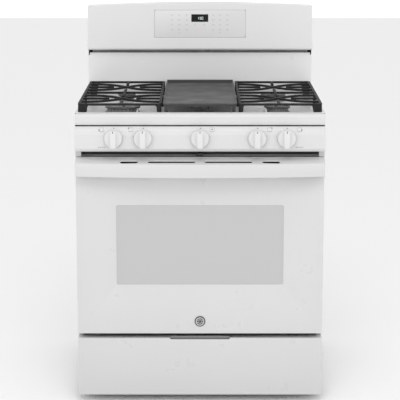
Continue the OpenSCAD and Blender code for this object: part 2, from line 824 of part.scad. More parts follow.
module keypad() {
    color("white") on_console(0, keypad_z) {
        translate([0, 4, 0]) rotate([90, 0, 0]) linear_extrude(4)
            rounded(-keypad_w / 2, keypad_w / 2, -keypad_h / 2, keypad_h / 2, 7);
        translate([-keypad_w / 2 - 6, 2.6, -keypad_h / 2 - 6]) cube([keypad_w + 12, 2, keypad_h + 12]);
    }
}

module control_board() {
    color("seagreen") on_console(0, keypad_z) {
        translate([-keypad_w / 2 + 10, 12, -keypad_h / 2 + 6]) cube([keypad_w - 20, 1.6, keypad_h - 12]);
        translate([-32, 4.7, 2]) cube([64, 7.3, 30]);
        for (x = [-120, 80]) translate([x, 13.6, -20]) cube([30, 16, 24]);
    }
}

module flue_duct() {
    t = 1;
    color("silver") difference() {
        union() {
            slab(-flue_x, flue_x, cav_d1 + sheet, flue_d1, flue_z, flue_z + flue_h);
            slab(-flue_x, flue_x, flue_d0, flue_d1, flue_z, flange_z - sheet - 2);
        }
        slab(-flue_x + t, flue_x - t, cav_d1, flue_d1 - t, flue_z + t, flue_z + flue_h - t);
        slab(-flue_x + t, flue_x - t, flue_d0 + t, flue_d1 - t, flue_z + t, splash_z + 1);
    }
}

// ---------- door ----------

module hinge_notch() {
    both_sides() slab(hinge_x - arm_w / 2 - 1.5, hinge_x + arm_w / 2 + 1.5, hinge_d - arm_r - 1, door_t + 1,
        door_z0 - 1, hinge_z + arm_r + 1);
}

module window_outline(grow) {
    rounded(-window_w / 2 - grow, window_w / 2 + grow, win_z0 - grow, win_z1 + grow, 5);
}

module door_outer_panel() {
    color("white") difference() {
        facing(0, shell_d) rounded(-half, half, door_z0, door_z1, 2);
        slab(-half + skin, half - skin, skin, shell_d + 1, door_z0 + skin, door_z1 - skin);
        facing(-1, skin + 1) {
            window_outline(0);
            for (slot = handle_slots, side = [-1, 1])
                translate([side * slot[0], door_z1 - 15]) rotate(90) stadium(10, slot[1]);
        }
        hinge_notch();
    }
}

module door_window() {
    color("lightgray") facing(skin, skin + 4) window_outline(10);
}

module door_inner_panel() {
    t = sheet;
    x1 = half - 2.5;
    color("dimgray") difference() {
        slab(-x1, x1, shell_d, door_t, door_z0 + 2, door_z1 - 2);
        slab(-x1 + t, x1 - t, shell_d - 1, door_t - t, door_z0 + 2 + t, door_z1 - 2 - t);
        facing(shell_d, door_t + 1) window_outline(-6);
        hinge_notch();
    }
    color("dimgray") both_sides() slab(x1 - 12, x1 - t, shell_d - 8, shell_d + 2, door_z0 + 60, door_z1 - 60);
}

module door_inner_glass() {
    color("lightgray") facing(door_t - sheet - 4, door_t - sheet) window_outline(8);
}

// Plan outline of the handle, from the door's face out to a shallow arc.
module handle_plan(grow) {
    rise = handle_reach - handle_end;
    r = (half * half + rise * rise) / (2 * rise);
    intersection() {
        translate([-half - grow, -handle_reach - grow]) square([body_w + 2 * grow, handle_reach + grow]);
        translate([0, r - handle_reach]) circle(r = r + grow, $fn = 240);
    }
}

module door_handle() {
    wall = 6;
    deck = 2.5;
    top = door_z1 - handle_drop;
    low = top - handle_face;
    color("white") difference() {
        hull() {
            flat(low, top) handle_plan(0);
            slab(-half, half, -1, 0, top, door_z1 - 1);
        }
        hull() {
            flat(low - 1, top - deck) handle_plan(-wall);
            slab(-half + wall, half - wall, -1, 1, top - deck, door_z1 - 1 - deck);
        }
        for (slot = handle_slots, side = [-1, 1])
            flat(top - 20, door_z1 + 5) translate([side * slot[0], -31]) rotate(90) stadium(17, slot[1]);
    }
}

module door_badge() {
    color("gray") translate([0, front_y, door_z0 + 39]) rotate([90, 0, 0]) {
        cylinder(r = 16.5, h = 2, $fn = 72);
        cylinder(r = 13.5, h = 2.8, $fn = 72);
    }
}

module door_hinges() {
    ear = 5;
    gap = arm_w / 2 + 2.5;
    color("silver") both_sides() {
        for (x = [hinge_x - gap - ear, hinge_x + gap])
            slab(x, x + ear, hinge_d - 8, door_t - sheet, hinge_z - 9, hinge_z + 74);
        slab(hinge_x - gap, hinge_x + gap, hinge_d - 8, hinge_d - 4, hinge_z + 20, hinge_z + 74);
        bar_x(hinge_x - gap - ear, hinge_x + gap + ear, pin_r, hinge_d, hinge_z);
    }
}

// ---------- drawer ----------

// Drawer front with a shallow arc cut out of its top edge, and a pull tab standing behind it.
module drawer_front() {
    t = 1.5;
    tab = pull_w / 2;
    dip = 4;
    color("white") difference() {
        slab(-half, half, 0, box_d0, toe_gap, drawer_z1);
        slab(-half + t, half - t, t, box_d0 + 1, toe_gap + t, drawer_z1 - t);
        facing(-1, tab_d) polygon([[-tab - 6, drawer_z1 + 1], [-tab, drawer_z1 - dip], [tab, drawer_z1 - dip],
            [tab + 6, drawer_z1 + 1]]);
    }
    color("white") facing(tab_d, tab_d + 2) polygon([[-tab - 8, drawer_z1 - dip - 2], [-tab, drawer_z1 + tab_h],
        [tab, drawer_z1 + tab_h], [tab + 8, drawer_z1 - dip - 2]]);
}

module drawer_box() {
    t = sheet;
    z0 = base_z + 15;
    color("silver") {
        difference() {
            slab(-box_x, box_x, box_d0, box_d1, z0, z0 + drawer_box_h);
            slab(-box_x + t, box_x - t, box_d0 + t, box_d1 - t, z0 + t, z0 + drawer_box_h + 1);
        }
        both_sides() slab(box_x, box_x + 13, box_d0 + 20, box_d1, runner_z, runner_z + 5);
    }
}

module drawer_rails() {
    x0 = box_x + 5;
    d1 = box_d1 + 10;
    color("darkgray") both_sides() difference() {
        slab(x0, inner, frame_d + 18, d1, runner_z - 6, runner_z + 11);
        slab(x0 - 1, box_x + 13.5, frame_d + 17, d1 + 1, runner_z - 0.5, runner_z + 5.5);
    }
}

// ---------- racks ----------

module rack(z) {
    x1 = cav_x - 3;
    d0 = cav_d0 + 8;
    d1 = cav_d1 - 20;
    wires = 14;
    pitch = (2 * x1 - 2 * wire_r) / (wires + 1);
    color("silver") {
        for (d = [d0, (d0 + d1) / 2, d1]) bar_x(-x1, x1, wire_r, d, z);
        both_sides() bar_y(d0, d1, wire_r, x1 - wire_r, z);
        for (i = [1:wires]) bar_y(d0, d1, wire_r - 1, -x1 + wire_r + i * pitch, z + wire_r - 0.5);
    }
}

module oven_rack_lower() { rack(rack_z0); }

module oven_rack_upper() { rack(rack_z1); }

side_panel_left();
side_panel_right();
rear_panel();
console_back();
base_frame();
leveling_legs();
front_frame();
oven_liner();
oven_floor();
oven_insulation();
bake_burner();
broil_burner();
oven_light();
door_gasket();
hinge_receivers();
vent_trim();
door_latch();
drawer_rails();
control_panel();
gas_manifold();
gas_valves();
pressure_regulator();
cooktop();
burner_heads_round();
burner_head_oval();
burner_cap_large();
burner_caps_standard();
burner_cap_small();
burner_cap_oval();
spark_igniters();
splash_panel();
console_shell();
keypad();
control_board();
flue_duct();
door_outer_panel();
door_window();
door_inner_panel();
door_inner_glass();
door_handle();
door_badge();
door_hinges();
drawer_front();
drawer_box();
oven_rack_upper();
oven_rack_lower();
grate_left();
grate_right();
griddle();
stem_left_front();
stem_left_rear();
stem_center();
stem_right_rear();
stem_right_front();
knob_left_front();
knob_left_rear();
knob_center();
knob_right_rear();
knob_right_front();
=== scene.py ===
import json
import math
import bmesh
import bpy
from mathutils import Matrix, Vector
from mathutils.bvhtree import BVHTree


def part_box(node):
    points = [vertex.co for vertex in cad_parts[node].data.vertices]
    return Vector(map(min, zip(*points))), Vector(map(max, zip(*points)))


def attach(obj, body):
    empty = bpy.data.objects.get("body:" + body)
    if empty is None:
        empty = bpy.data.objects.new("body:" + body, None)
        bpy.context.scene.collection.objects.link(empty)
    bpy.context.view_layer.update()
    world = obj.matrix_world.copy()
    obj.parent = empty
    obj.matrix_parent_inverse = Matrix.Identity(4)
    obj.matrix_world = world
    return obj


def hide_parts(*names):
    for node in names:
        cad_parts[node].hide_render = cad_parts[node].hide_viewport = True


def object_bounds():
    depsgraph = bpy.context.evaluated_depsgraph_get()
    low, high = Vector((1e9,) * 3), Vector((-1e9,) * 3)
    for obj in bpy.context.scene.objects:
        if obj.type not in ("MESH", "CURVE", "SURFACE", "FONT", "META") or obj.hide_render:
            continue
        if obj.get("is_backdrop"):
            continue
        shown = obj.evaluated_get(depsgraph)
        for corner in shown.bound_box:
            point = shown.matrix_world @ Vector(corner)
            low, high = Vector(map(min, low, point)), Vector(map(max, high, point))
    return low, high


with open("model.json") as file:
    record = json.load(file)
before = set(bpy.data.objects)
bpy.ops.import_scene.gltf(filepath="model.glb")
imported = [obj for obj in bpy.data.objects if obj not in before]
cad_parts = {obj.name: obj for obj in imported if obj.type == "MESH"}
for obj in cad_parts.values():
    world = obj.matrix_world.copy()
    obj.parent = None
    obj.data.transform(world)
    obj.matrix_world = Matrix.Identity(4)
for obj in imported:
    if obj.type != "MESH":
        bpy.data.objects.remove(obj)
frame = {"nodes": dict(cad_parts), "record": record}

cadLow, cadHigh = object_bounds()
scene = bpy.context.scene
mm = 0.001
wideRound = 4 * mm
slots = {row["node"]: row["material_slot"] for row in frame["record"]["subparts"]}
bodyOf = {n: body for body, nodes in frame["record"]["behaviour"]["bodies"].items() for n in nodes}
print("frame loaded:", len(slots), "nodes")

# camera: a long lens, a little above the cooktop
camera = {"distance": 4.62, "height": 1.588, "pitch": 10.8, "lens": 138.7, "shiftY": -0.05}
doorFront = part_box("door_outer_panel")[0].y
cam = bpy.data.objects.new("camera", bpy.data.cameras.new("camera"))
cam.data.lens = camera["lens"]
cam.data.shift_y = camera["shiftY"]
cam.location = (0, doorFront - camera["distance"], camera["height"])
cam.rotation_euler = (math.radians(90 - camera["pitch"]), 0, 0)
cam.data.clip_end = 60
scene.collection.objects.link(cam)
scene.camera = cam
scene.view_settings.view_transform = "Standard"


class Signal:
    def __init__(self, paint, socket):
        self.paint = paint
        self.socket = socket

    def __add__(self, other): return self.paint.maths("ADD", self, other)
    def __radd__(self, other): return self.paint.maths("ADD", other, self)
    def __sub__(self, other): return self.paint.maths("SUBTRACT", self, other)
    def __rsub__(self, other): return self.paint.maths("SUBTRACT", other, self)
    def __mul__(self, other): return self.paint.maths("MULTIPLY", self, other)
    def __rmul__(self, other): return self.paint.maths("MULTIPLY", other, self)
    def __truediv__(self, other): return self.paint.maths("DIVIDE", self, other)
    def __pow__(self, other): return self.paint.maths("POWER", self, other)
    def __gt__(self, other): return self.paint.maths("GREATER_THAN", self, other)
    def __lt__(self, other): return self.paint.maths("LESS_THAN", self, other)


class Paint:
    def __init__(self, name):
        self.material = bpy.data.materials.new(name)
        self.material.use_nodes = True
        self.tree = self.material.node_tree
        self.tree.nodes.clear()
        self.out = self.tree.nodes.new("ShaderNodeOutputMaterial")
        self.shader = self.tree.nodes.new("ShaderNodeBsdfPrincipled")
        self.tree.links.new(self.shader.outputs[0], self.out.inputs[0])

    def put(self, socket, value):
        if isinstance(value, Signal):
            self.tree.links.new(value.socket, socket)
        else:
            socket.default_value = value

    def node(self, kind, settings=None, values=None, output=0):
        made = self.tree.nodes.new(kind)
        for key, value in (settings or {}).items():
            if key == "stops":
                ramp = made.color_ramp
                while len(ramp.elements) < len(value):
                    ramp.elements.new(0.5)
                for element, (place, colour) in zip(ramp.elements, value):
                    element.position = place
                    element.color = colour
            else:
                setattr(made, key, value)
        for key, value in (values or {}).items():
            self.put(made.inputs[key], value)
        return Signal(self, made.outputs[output])

    def maths(self, operation, a, b=0.0):
        return self.node("ShaderNodeMath", {"operation": operation}, {0: a, 1: b})

    def place(self, scale=(1, 1, 1)):
        spot = self.node("ShaderNodeTexCoord", output=3)
        return self.node("ShaderNodeMapping", {}, {"Vector": spot, "Scale": scale})

    def axes(self):
        spot = self.node("ShaderNodeTexCoord", output=3)
        made = self.tree.nodes.new("ShaderNodeSeparateXYZ")
        self.tree.links.new(spot.socket, made.inputs[0])
        return [Signal(self, made.outputs[i]) for i in range(3)]

    def noise(self, scale, detail=3.0, stretch=(1, 1, 1)):
        spot = self.place(stretch)
        return self.node("ShaderNodeTexNoise", {}, {"Vector": spot, "Scale": scale, "Detail": detail})

    def mix(self, factor, a, b):
        return self.node("ShaderNodeMix", {"data_type": "RGBA"}, {0: factor, 6: a, 7: b}, 2)

    def limit(self, value, low, high, toLow, toHigh):
        return self.node("ShaderNodeMapRange", {}, {0: value, 1: low, 2: high, 3: toLow, 4: toHigh})

    def bump(self, height, distance, strength=1.0):
        values = {"Height": height, "Distance": distance, "Strength": strength}
        return self.node("ShaderNodeBump", {}, values)

    def finish(self, **sockets):
        for name, value in sockets.items():
            self.put(self.shader.inputs[name.replace("_", " ")], value)
        return self.material


def grey(value, warm=0.0):
    return (value * (1 + warm), value, value * (1 - warm), 1)


# White enamel or moulded white: a slow tone drift, faint orange peel and a gloss that varies a little.
def whiteCoat(name, tone, rough=0.3, peel=0.000015, coat=0.2, warm=0.0):
    paint = Paint(name)
    drift = paint.noise(2.3, 2.0)
    peelNoise = paint.noise(150, 1.0)
    dust = paint.noise(18, 2.0)
    tint = paint.limit(drift, 0.3, 0.7, 0.0, 1.0)
    colour = paint.mix(tint, grey(tone * 0.975, warm), grey(tone * 1.01, warm))
    return paint.finish(
        Base_Color=colour,
        Roughness=paint.limit(dust, 0.0, 1.0, rough * 0.75, rough * 1.3),
        Normal=paint.bump(peelNoise, peel),
        Coat_Weight=coat, Coat_Roughness=0.12, IOR=1.5)


# Dark enamel with the fine light speckle of oven porcelain.
def speckledEnamel(name, base, speck):
    paint = Paint(name)
    cells = paint.node("ShaderNodeTexVoronoi", {}, {"Vector": paint.place(), "Scale": 520.0})
    fleck = paint.limit(cells, 0.10, 0.22, 1.0, 0.0)
    cloud = paint.noise(9, 3.0)
    ground = paint.mix(cloud, base, tuple(c * 1.5 for c in base[:3]) + (1,))
    return paint.finish(
        Base_Color=paint.mix(fleck, ground, speck),
        Roughness=paint.limit(cloud, 0.3, 0.7, 0.16, 0.3),
        Normal=paint.bump(paint.noise(260, 2.0), 0.00006),
        Coat_Weight=0.4, Coat_Roughness=0.05)


# Cast iron under matt enamel: coarse sand-cast bumps and worn, slightly lighter high spots.
def castIron(name, base, edge, grain=0.0004, rough=0.55, shine=0.2):
    paint = Paint(name)
    coarse = paint.noise(210, 5.0)
    fine = paint.noise(900, 2.0)
    cloud = paint.noise(14, 4.0)
    height = coarse * 0.7 + fine * 0.3
    worn = paint.limit(coarse * 0.6 + cloud * 0.5, 0.5, 0.78, 0.0, 0.75)
    return paint.finish(
        Base_Color=paint.mix(worn, base, edge),
        Roughness=paint.limit(cloud, 0.3, 0.7, rough * 0.85, rough * 1.3),
        Normal=paint.bump(height, grain),
        IOR=1.5, Specular_IOR_Level=shine)


# Rolled or drawn metal: streaks along one direction, slight smudges.
def drawnMetal(name, tone, rough, stretch=(1, 1, 40), metal=1.0, warm=0.0):
    paint = Paint(name)
    streak = paint.noise(22, 4.0, stretch)
    smudge = paint.noise(6, 3.0)
    return paint.finish(
        Base_Color=paint.mix(streak, grey(tone * 0.86, warm), grey(tone * 1.06, warm)),
        Roughness=paint.limit(streak * 0.5 + smudge * 0.5, 0.3, 0.7, rough * 0.8, rough * 1.3),
        Metallic=metal,
        Normal=paint.bump(streak, 0.00005))


# Galvanised sheet, with its large pale crystals.
def galvanised(name, tone):
    paint = Paint(name)
    cells = paint.node("ShaderNodeTexVoronoi", {}, {"Vector": paint.place(), "Scale": 46.0}, 1)
    shade = paint.node("ShaderNodeRGBToBW", {}, {0: cells})
    smudge = paint.noise(12, 3.0)
    return paint.finish(
        Base_Color=paint.mix(shade, grey(tone * 0.82), grey(tone * 1.1)),
        Roughness=paint.limit(shade * 0.6 + smudge * 0.4, 0.2, 0.8, 0.3, 0.5),
        Metallic=0.85,
        Normal=paint.bump(paint.noise(140, 2.0), 0.00004))


# Moulded plastic or rubber with a fine texture.
def moulded(name, colour, rough=0.5, grain=0.00008, size=600):
    paint = Paint(name)
    cloud = paint.noise(16, 3.0)
    darker = tuple(c * 0.88 for c in colour[:3]) + (1,)
    return paint.finish(
        Base_Color=paint.mix(cloud, darker, colour),
        Roughness=paint.limit(cloud, 0.3, 0.7, rough * 0.9, rough * 1.15),
        Normal=paint.bump(paint.noise(size, 2.0), grain))


def glassWool(name):
    paint = Paint(name)
    strands = paint.noise(90, 6.0, (1, 1, 4))
    clumps = paint.noise(12, 4.0)
    return paint.finish(
        Base_Color=paint.mix(strands, (0.55, 0.47, 0.25, 1), (0.86, 0.8, 0.55, 1)),
        Roughness=paint.limit(clumps, 0.3, 0.7, 0.8, 0.95),
        Normal=paint.bump(strands * 0.6 + clumps * 0.4, 0.003))


# Braided glass seal.
def braid(name):
    paint = Paint(name)
    x, y, z = paint.axes()
    twist = paint.maths("SINE", (x + z) * 1400.0) * paint.maths("SINE", (x - z) * 1400.0)
    return paint.finish(
        Base_Color=paint.mix(paint.limit(twist, -1.0, 1.0, 0.0, 1.0), grey(0.03), grey(0.16)),
        Roughness=paint.limit(twist, -1.0, 1.0, 0.7, 0.9),
        Normal=paint.bump(twist, 0.0006))


# The window: pale frit dots printed close together behind the pane.
def frittedGlass(name, dotTone, groundTone):
    paint = Paint(name)
    pitch = 2.0 * mm
    x, y, z = paint.axes()
    dots = paint.maths("SINE", x * (math.tau / pitch)) * paint.maths("SINE", z * (math.tau / pitch))
    lines = paint.noise(30, 2.0, (0.2, 1, 9))
    cover = paint.limit(dots, -0.25, 0.35, 0.0, 1.0)
    cloud = paint.limit(lines, 0.3, 0.7, 0.0, 0.35)
    ground = paint.mix(cloud, grey(groundTone), grey(groundTone * 1.08))
    return paint.finish(
        Base_Color=paint.mix(cover, ground, grey(dotTone)),
        Roughness=paint.limit(cover, 0.0, 1.0, 0.07, 0.12),
        Normal=paint.bump(lines, 0.00003),
        Coat_Weight=0.5, Coat_Roughness=0.02)


def clearGlass(name, tone):
    paint = Paint(name)
    cloud = paint.noise(7, 3.0)
    return paint.finish(
        Base_Color=paint.mix(cloud, grey(tone * 0.95), grey(tone)),
        Roughness=paint.limit(cloud, 0.3, 0.7, 0.03, 0.08),
        Alpha=paint.limit(cloud, 0.3, 0.7, 0.32, 0.38),
        Coat_Weight=0.3)


def circuitBoard(name):
    paint = Paint(name)
    tracks = paint.node("ShaderNodeTexBrick", {"offset": 0.5}, {
        "Vector": paint.place((1, 1, 1)), "Scale": 60.0, "Mortar Size": 0.03,
        "Color1": (0.02, 0.16, 0.07, 1), "Color2": (0.03, 0.2, 0.09, 1), "Mortar": (0.25, 0.35, 0.12, 1)})
    return paint.finish(
        Base_Color=tracks,
        Roughness=paint.limit(paint.noise(40), 0.3, 0.7, 0.3, 0.5),
        Normal=paint.bump(paint.noise(300, 2.0), 0.0001))


def glow(name, colour, strength):
    paint = Paint(name)
    flicker = paint.limit(paint.noise(900, 1.0), 0.3, 0.7, 0.85, 1.0)
    return paint.finish(
        Base_Color=paint.mix(flicker, grey(0.2), colour),
        Roughness=0.4, Emission_Color=colour, Emission_Strength=strength)


finishes = {
    "white_enamel": whiteCoat("whiteEnamel", 0.65),
    # Painted light: the splash guard's white is set lighter than the other whites to make up for the shade it
    # sits in.
    "guard_enamel": whiteCoat("guardEnamel", 0.76),
    "door_enamel": whiteCoat("doorEnamel", 0.63),
    "drawer_enamel": whiteCoat("drawerEnamel", 0.605),
    "console_white": whiteCoat("consoleWhite", 0.675, 0.32, 0.00003, 0.15),
    "keypad_film": whiteCoat("keypadFilm", 0.65, 0.38, 0.00002, 0.05),
    "handle_white": whiteCoat("handleWhite", 0.63, 0.3, 0.00002, 0.2),
    "knob_white": whiteCoat("knobWhite", 0.68, 0.32, 0.00002, 0.15),
    "frame_enamel": whiteCoat("frameEnamel", 0.55),
    "ceramic": whiteCoat("ceramic", 0.8, 0.2, 0.00003, 0.3, 0.03),
    "oven_enamel": speckledEnamel("ovenEnamel", (0.02, 0.022, 0.03, 1), (0.3, 0.33, 0.38, 1)),
    "cap_enamel": speckledEnamel("capEnamel", (0.028, 0.028, 0.03, 1), (0.06, 0.06, 0.06, 1)),
    "grate_iron": castIron("grateIron", grey(0.012), grey(0.035)),
    "griddle_metal": castIron("griddleMetal", grey(0.034), grey(0.04), 0.0001, 0.4, 0.5),
    "burner_aluminium": drawnMetal("burnerAluminium", 0.32, 0.45, (1, 1, 1)),
    "burner_steel": drawnMetal("burnerSteel", 0.5, 0.35, (1, 0.05, 1)),
    "valve_alloy": drawnMetal("valveAlloy", 0.6, 0.4, (1, 1, 1)),
    "regulator_brass": drawnMetal("regulatorBrass", 0.45, 0.35, (1, 1, 1), 1.0, 0.32),
    "rack_chrome": drawnMetal("rackChrome", 0.62, 0.14, (1, 1, 1)),
    "badge_metal": drawnMetal("badgeMetal", 0.12, 0.4, (30, 1, 1)),
    "zinc_steel": galvanised("zincSteel", 0.55),
    "black_nylon": moulded("blackNylon", grey(0.02), 0.45),
    "black_trim": moulded("blackTrim", grey(0.018), 0.38),
    "gasket": braid("gasketBraid"),
    "glass_wool": glassWool("glassWool"),
    "window_glass": frittedGlass("windowGlass", 0.515, 0.44),
    "inner_glass": clearGlass("innerGlass", 0.75),
    "lamp_glass": clearGlass("lampGlass", 0.9),
    "circuit_board": circuitBoard("circuitBoard"),
}
# Painted shade: a near-black for the inner faces of hollow pieces, where shade falls.
paintedInsideShade = moulded("paintedInsideShade", grey(0.035), 0.5)
markInk = moulded("markInk", grey(0.10), 0.6, 0.00002)
paleInk = moulded("paleInk", grey(0.46), 0.6, 0.00002)
lineInk = moulded("lineInk", grey(0.28), 0.6, 0.00002)
displayBlack = castIron("displayBlack", grey(0.006), grey(0.012), 0.00001, 0.25, 0.15)
digitGlow = glow("digitGlow", (0.75, 0.85, 0.88, 1), 0.3)
# Painted shade: a mid grey for the front of the drawer's pull lip, which lies in the door's shadow.
pullLipShade = whiteCoat("pullLipShade", 0.22, 0.5, coat=0.0)
badgeLight = drawnMetal("badgeLight", 0.75, 0.3, (30, 1, 1))
print("finishes made:", len(finishes))


def piece(name, bm, body, material, smooth=40.0):
    mesh = bpy.data.meshes.new(name)
    bm.to_mesh(mesh)
    bm.free()
    made = bpy.data.objects.new(name, mesh)
    scene.collection.objects.link(made)
    mesh.materials.append(material)
    if smooth:
        smoothen(mesh, smooth)
    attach(made, body)
    return made


def smoothen(mesh, angle):
    bm = bmesh.new()
    bm.from_mesh(mesh)
    for face in bm.faces:
        face.smooth = True
    for edge in bm.edges:
        edge.smooth = not (len(edge.link_faces) == 2 and edge.calc_face_angle(0) > math.radians(angle))
    bm.to_mesh(mesh)
    bm.free()


def bevelEdges(bm, edges, width, segments):
    return bmesh.ops.bevel(bm, geom=edges, offset=width, offset_type="OFFSET", affect="EDGES",
                           segments=segments, profile=0.5, material=-1, clamp_overlap=True)


# A merged copy of a CAD node with its sharp edges rounded, which then stands for the node.
# "wide" edges are rounded first and by more; edges that "skip" picks out stay sharp.
def soften(node, width=0.0, segments=2, sharp=35.0, smooth=38.0, skip=None, wide=None):
    bm = bmesh.new()
    bm.from_mesh(frame["nodes"][node].data)
    bmesh.ops.remove_doubles(bm, verts=bm.verts, dist=0.00002)
    bmesh.ops.dissolve_limit(bm, angle_limit=math.radians(0.4), verts=bm.verts, edges=bm.edges)
    if wide:
        bevelEdges(bm, [e for e in bm.edges if all(wide(v.co) for v in e.verts)], wideRound, 4)
    if width:
        turns = [e for e in bm.edges if len(e.link_faces) == 2 and e.calc_face_angle(0) > math.radians(sharp)]
        edges = [e for e in turns if not (skip and all(skip(v.co) for v in e.verts))]
        bevelEdges(bm, edges, width, segments)
    made = piece(node + "_finished", bm, bodyOf[node], finishes[slots[node]], smooth)
    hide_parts(node)
    return made


# Painted shade: a dark coat on the faces of a hollow piece that look at another face of it, where shade falls
# inside it.
def paintShadeInside(made):
    made.data.materials.append(paintedInsideShade)
    tree = surfaceOf(made.data)
    for face in made.data.polygons:
        hit = tree.ray_cast(face.center + face.normal * 0.2 * mm, face.normal, 0.9)
        if hit[0] is not None:
            face.material_index = 1


def surfaceOf(mesh):
    return BVHTree.FromPolygons([v.co for v in mesh.vertices], [p.vertices for p in mesh.polygons])


for node, thing in frame["nodes"].items():
    thing.data.materials.clear()
    thing.data.materials.append(finishes[slots[node]])

softened = {
    # node: [edge radius in mm, segments]
    "cooktop": [0, 0], "control_panel": [0, 0], "console_shell": [0, 0], "splash_panel": [0.4, 1],
    "door_outer_panel": [0.5, 2], "door_window": [0.5, 1], "drawer_front": [0.5, 2],
    "door_handle": [2.2, 3],
    "keypad": [0.5, 2], "grate_left": [1.3, 2], "grate_right": [1.3, 2],
    "griddle": [1.0, 2], "burner_cap_large": [0, 0], "burner_caps_standard": [0, 0],
    "burner_cap_small": [0, 0], "burner_cap_oval": [0.8, 2], "burner_heads_round": [0.4, 1],
    "burner_head_oval": [0.4, 1], "oven_rack_upper": [0, 0], "oven_rack_lower": [0, 0],
    "door_inner_panel": [0.4, 1], "side_panel_left": [0.4, 2], "side_panel_right": [0.4, 2],
    "rear_panel": [0.4, 1], "console_back": [0.4, 1], "leveling_legs": [0.6, 2], "door_latch": [0.5, 2],
    "vent_trim": [0.3, 1], "front_frame": [0.3, 1], "drawer_box": [0.3, 1], "gas_manifold": [0, 0],
    "hinge_receivers": [0.8, 2], "oven_light": [1.2, 3],
}
for side in ("left_front", "left_rear", "center", "right_rear", "right_front"):
    softened["knob_" + side] = [1.4, 3]
drawerFace = [v.co for v in frame["nodes"]["drawer_front"].data.vertices if v.co.y < doorFront + 1 * mm]
drawerTop = max(v.z for v in drawerFace)
# Where the handle's slots lie, how near a point is to count as on an edge, and the span of the pull lip.
handleSlots = {"halfSpan": 250 * mm, "middle": 31 * mm, "halfWidth": 10 * mm}
onEdge = 0.2 * mm
pullLip = {"halfSpan": 110 * mm, "behind": 6 * mm}


def inHandleSlots(v):
    fromMiddle = abs(v.y - doorFront + handleSlots["middle"])
    return abs(v.x) < handleSlots["halfSpan"] and fromMiddle < handleSlots["halfWidth"]


def onDrawerTopEdge(v):
    return v.y < doorFront + onEdge and v.z > drawerTop - onEdge


skips = {"door_handle": inHandleSlots}
wides = {"drawer_front": onDrawerTopEdge}
finished = {}
for node, (width, segments) in softened.items():
    finished[node] = soften(node, width * mm, segments, skip=skips.get(node), wide=wides.get(node))
# Painted shade on the inner faces of the handle, the back guard's shells and the drawer front.
for node in ("door_handle", "console_shell", "splash_panel", "drawer_front"):
    paintShadeInside(finished[node])
# Painted shade: the pull lip's front faces get the shaded grey.
finished["drawer_front"].data.materials.append(pullLipShade)
for face in finished["drawer_front"].data.polygons:
    spot = face.center
    if abs(spot.x) < pullLip["halfSpan"] and face.normal.y < -0.9 and spot.y > doorFront + pullLip["behind"]:
        face.material_index = 2
print("edges rounded on", len(softened), "nodes")


# Thin plates laid on a surface: each mark is [u, v, width, height] in mm, set out from a place with its own
# right, up and outward directions.
def plates(name, body, material, marks, origin, right, up, out, thick=0.15, sink=0.1):
    bm = bmesh.new()
    for u, v, width, height in marks:
        corners = []
        for depth in (-sink, thick):
            for du, dv in ((-1, -1), (1, -1), (1, 1), (-1, 1)):
                along = right * (u + du * width / 2) + up * (v + dv * height / 2)
                corners.append(bm.verts.new(origin + (along + out * depth) * mm))
        low, top = corners[:4], corners[4:]
        bm.faces.new(top)
        bm.faces.new(list(reversed(low)))
        for i in range(4):
            bm.faces.new([low[i], low[(i + 1) % 4], top[(i + 1) % 4], top[i]])
    bmesh.ops.recalc_face_normals(bm, faces=bm.faces)
    return piece(name, bm, body, material, 0)


def frontFace(node):
    faces = frame["nodes"][node].data.polygons
    facing = [f for f in faces if f.normal.y < -0.8]
    normal = max(facing, key=lambda f: f.area).normal.copy()
    low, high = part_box(node)
    middle = (low + high) / 2
    front = min((v.co - middle).dot(normal) * -1 for v in frame["nodes"][node].data.vertices)
    return middle + normal * -front, normal


keyCentre, keyOut = frontFace("keypad")
across = Vector((1, 0, 0))
keyUp = keyOut.cross(across).normalized()
if keyUp.z < 0:
    keyUp = -keyUp
keypad = {
    # places in mm from the keypad's middle; a low mark is one bar: place, width and height
    "columns": (-94.5, -70.0, -45.0, 44.5, 67.5, 92.5), "rows": (29.0, 12.5, -3.5, -20.5),
    "middleColumns": (-16.0, 15.0), "lowMarks": [[-70.0, -30.5, 8.0, 1.2], [67.5, -30.0, 8.0, 1.2]],
}
keyLegend = []
for column in keypad["columns"]:
    for row in keypad["rows"]:
        keyLegend += [[column, row + 1.6, 9.0, 1.1], [column, row - 1.4, 6.0, 1.0]]
for column in keypad["middleColumns"]:
    keyLegend += [[column, -1.4, 8.0, 1.1], [column, -4.4, 5.0, 1.0]]
keyLegend += keypad["lowMarks"]
plates("keypad_legend", "root", paleInk, keyLegend, keyCentre, across, keyUp, keyOut, 0.08)
displayGlass = [[-0.7, 19.4, 57.0, 25.6]]
plates("display_glass", "root", displayBlack, displayGlass, keyCentre, across, keyUp, keyOut, 0.3)

segments = {"1": "bc", "3": "abgcd", "0": "abcdef"}
strokes = {"a": (0, 1, 1, 0), "b": (0.5, 0.5, 0, 1), "c": (0.5, -0.5, 0, 1), "d": (0, -1, 1, 0),
           "e": (-0.5, -0.5, 0, 1), "f": (-0.5, 0.5, 0, 1), "g": (0, 0, 1, 0)}
digit = {"width": 4.4, "halfHeight": 4.2, "middle": 18.6, "stroke": 1.1, "flat": 3.6, "upright": 3.7}
digitMarks = []
for figure, place in (("1", -7.5), ("3", 0.8), ("0", 8.0)):
    for stroke in segments[figure]:
        u, v, flat, upright = strokes[stroke]
        digitMarks.append([place + u * digit["width"], digit["middle"] + v * digit["halfHeight"],
                           digit["flat"] if flat else digit["stroke"],
                           digit["upright"] if upright else digit["stroke"]])
digitMarks += [[-3.6, 20.4, 1.1, 1.1], [-3.6, 16.8, 1.1, 1.1]]
plates("display_digits", "root", digitGlow, digitMarks, keyCentre, across, keyUp, keyOut, 0.42, -0.28)

panelSurface = surfaceOf(frame["nodes"]["control_panel"].data)


